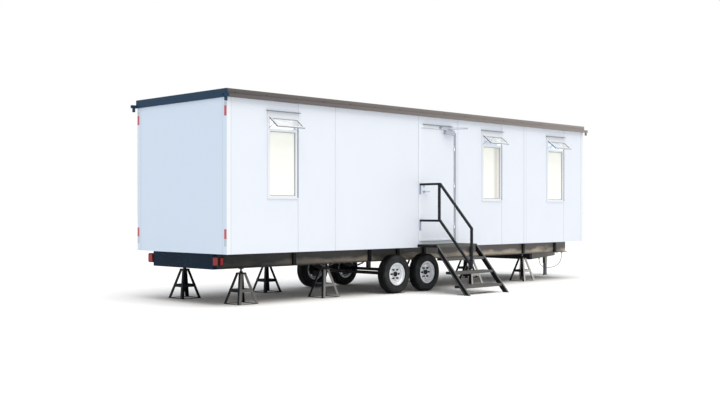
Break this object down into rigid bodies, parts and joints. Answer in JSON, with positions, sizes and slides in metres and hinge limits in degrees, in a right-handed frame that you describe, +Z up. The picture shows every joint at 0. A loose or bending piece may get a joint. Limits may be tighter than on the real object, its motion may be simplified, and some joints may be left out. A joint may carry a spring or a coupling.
{
  "type": "wheeled site cabin",
  "caption": "Portable office cabin with hinged door and fixed windows, on a towable steel chassis with tandem wheels, jack stands, hitch, entrance stairs and handrail.",
  "frame": {"origin": "on the ground under the middle of the object's box", "axes": "+X forward to the hitch, along the longest extent; +Y away from the door side; +Z up"},
  "size_m": [10.67, 3.8776, 3.32],
  "materials": {
    "floor_board": "plain boards",
    "wall_skin": "smooth satin white",
    "roof_sheet": "matt sheet",
    "roof_trim": "dark bronze satin",
    "wall_trim": "satin white",
    "window_frame": "white powder coat",
    "window_glass": "clear",
    "hardware": "satin",
    "door_frame": "satin",
    "black_steel": "gloss black",
    "stand_steel": "worn black",
    "stair_steel": "worn black",
    "rail_steel": "satin black",
    "plate_steel": "blue grey",
    "lamp_housing": "matt",
    "lamp_lens": "ribbed red",
    "cable_jacket": "pale",
    "door_skin": "satin white",
    "closer_metal": "silver enamel",
    "tyre_rubber": "black",
    "rim_enamel": "white enamel"
  },
  "bodies": {
    "cabin": {"floor_deck": "floor_board", "rear_wall": "wall_skin", "front_wall": "wall_skin", "back_wall": "wall_skin", "side_wall_rear": "wall_skin", "side_wall_front": "wall_skin", "side_wall_over_door": "wall_skin", "side_wall_under_door": "wall_skin", "roof_panel": "roof_sheet", "side_gutters": "roof_trim", "end_fascias": "roof_trim", "corner_trims": "wall_trim", "panel_strips": "wall_trim", "window_frames": "window_frame", "window_panes": "window_glass", "awning_sashes": "window_frame", "awning_panes": "window_glass", "awning_stays": "hardware", "drip_hoods": "wall_trim", "door_jambs": "door_frame", "door_head": "door_frame", "door_sill": "hardware", "frame_hinges": "hardware", "closer_shoe": "hardware", "chassis_beams": "black_steel", "end_beams": "black_steel", "cross_members": "black_steel", "hitch_beam_bar": "black_steel", "hitch_legs": "black_steel", "coupler": "black_steel", "tongue_jack": "black_steel", "spring_hangers": "black_steel", "leaf_springs": "black_steel", "equalizers": "black_steel", "axles": "black_steel", "stand_frames": "stand_steel", "stand_screws": "stand_steel", "stair_stringers": "stair_steel", "stair_platform": "stair_steel", "stair_treads": "stair_steel", "handrail": "rail_steel", "handrail_plates": "plate_steel", "tail_lamps": "lamp_housing", "tail_lenses": "lamp_lens", "cable_clips": "lamp_housing", "light_cable": "cable_jacket"},
    "door": {"door_leaf": "door_skin", "door_hinges": "hardware", "door_handles": "hardware", "closer_body": "closer_metal"},
    "closer_arm": {"closer_main_arm": "closer_metal"},
    "closer_link": {"closer_forearm": "closer_metal"},
    "near_rear_wheel": {"tyre_near_rear": "tyre_rubber", "wheel_near_rear": "rim_enamel"},
    "near_front_wheel": {"tyre_near_front": "tyre_rubber", "wheel_near_front": "rim_enamel"},
    "far_rear_wheel": {"tyre_far_rear": "tyre_rubber", "wheel_far_rear": "rim_enamel"},
    "far_front_wheel": {"tyre_far_front": "tyre_rubber", "wheel_far_front": "rim_enamel"}
  },
  "joints": [
    {"name": "door_hinge", "type": "hinge", "parent": "cabin", "child": "door", "pos_m": [0.083, -0.73283, 1.95], "axis": [0, 0, 1], "range_deg": [0, 100]},
    {"name": "closer_arm_pivot", "type": "hinge", "parent": "door", "child": "closer_arm", "pos_m": [-0.057, -0.75283, 2.99], "axis": [0, 0, 1], "range_deg": [-149.5, 0]},
    {"name": "closer_link_pivot", "type": "hinge", "parent": "cabin", "child": "closer_link", "pos_m": [-0.297, -0.75883, 3.01], "axis": [0, 0, 1], "range_deg": [-16.4, 0]},
    {"name": "near_rear_spin", "type": "hinge", "parent": "cabin", "child": "near_rear_wheel", "pos_m": [-1.4025, -0.57633, 0.346], "axis": [0, 1, 0], "continuous": true},
    {"name": "near_front_spin", "type": "hinge", "parent": "cabin", "child": "near_front_wheel", "pos_m": [-0.5875, -0.57633, 0.346], "axis": [0, 1, 0], "continuous": true},
    {"name": "far_rear_spin", "type": "hinge", "parent": "cabin", "child": "far_rear_wheel", "pos_m": [-1.4025, 1.57667, 0.346], "axis": [0, 1, 0], "continuous": true},
    {"name": "far_front_spin", "type": "hinge", "parent": "cabin", "child": "far_front_wheel", "pos_m": [-0.5875, 1.57667, 0.346], "axis": [0, 1, 0], "continuous": true}
  ],
  "couplings": [
    {"joint": "closer_arm_pivot", "follows": "door_hinge", "ratio": -1.4852},
    {"joint": "closer_link_pivot", "follows": "door_hinge", "ratio": -0.15377}
  ]
}
